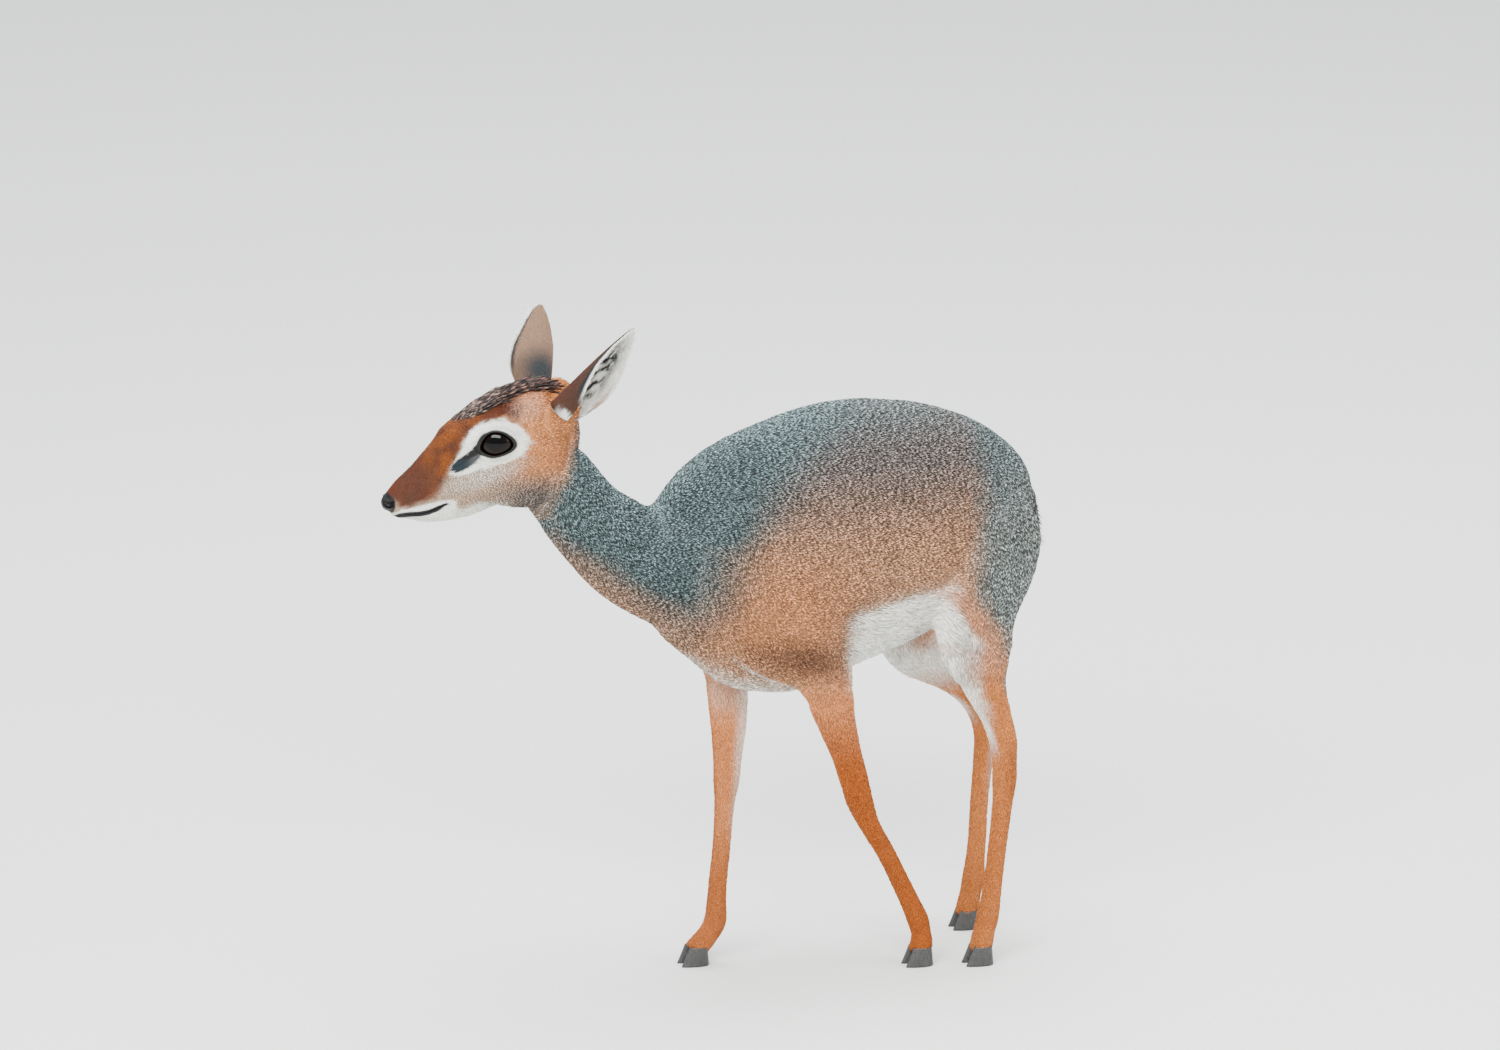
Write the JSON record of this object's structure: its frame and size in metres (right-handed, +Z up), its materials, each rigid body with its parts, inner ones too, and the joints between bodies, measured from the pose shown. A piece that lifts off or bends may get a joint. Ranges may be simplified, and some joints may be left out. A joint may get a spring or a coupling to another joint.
{
  "type": "dik-dik, still model",
  "caption": "Life-size still model of a standing hornless dik-dik with large cupped ears, a dark forelock crest, white-ringed eyes and slender legs.",
  "frame": {"origin": "on the floor under the middle of the bounding box", "axes": "-X towards the nose, +X towards the rump, -Y the animal's left side, +Y its right side, +Z up"},
  "size_m": [0.4842, 0.132, 0.4958],
  "materials": {
    "grizzled_coat": "short grey salt-and-pepper hair",
    "rufous_coat": "short orange-tan hair",
    "hoof_horn": "satin slate-black horn",
    "eye": "glossy near-black"
  },
  "bodies": {
    "root": {"head": "rufous_coat", "neck": "grizzled_coat", "torso": "grizzled_coat", "tail": "grizzled_coat", "left_ear": "rufous_coat", "right_ear": "rufous_coat", "left_eye": "eye", "right_eye": "eye", "left_forearm": "rufous_coat", "right_forearm": "rufous_coat", "left_fore_cannon": "rufous_coat", "right_fore_cannon": "rufous_coat", "left_gaskin": "rufous_coat", "right_gaskin": "rufous_coat", "left_hind_cannon": "rufous_coat", "right_hind_cannon": "rufous_coat", "left_fore_hoof_left": "hoof_horn", "left_fore_hoof_right": "hoof_horn", "right_fore_hoof_left": "hoof_horn", "right_fore_hoof_right": "hoof_horn", "left_hind_hoof_left": "hoof_horn", "left_hind_hoof_right": "hoof_horn", "right_hind_hoof_left": "hoof_horn", "right_hind_hoof_right": "hoof_horn"}
  },
  "joints": []
}
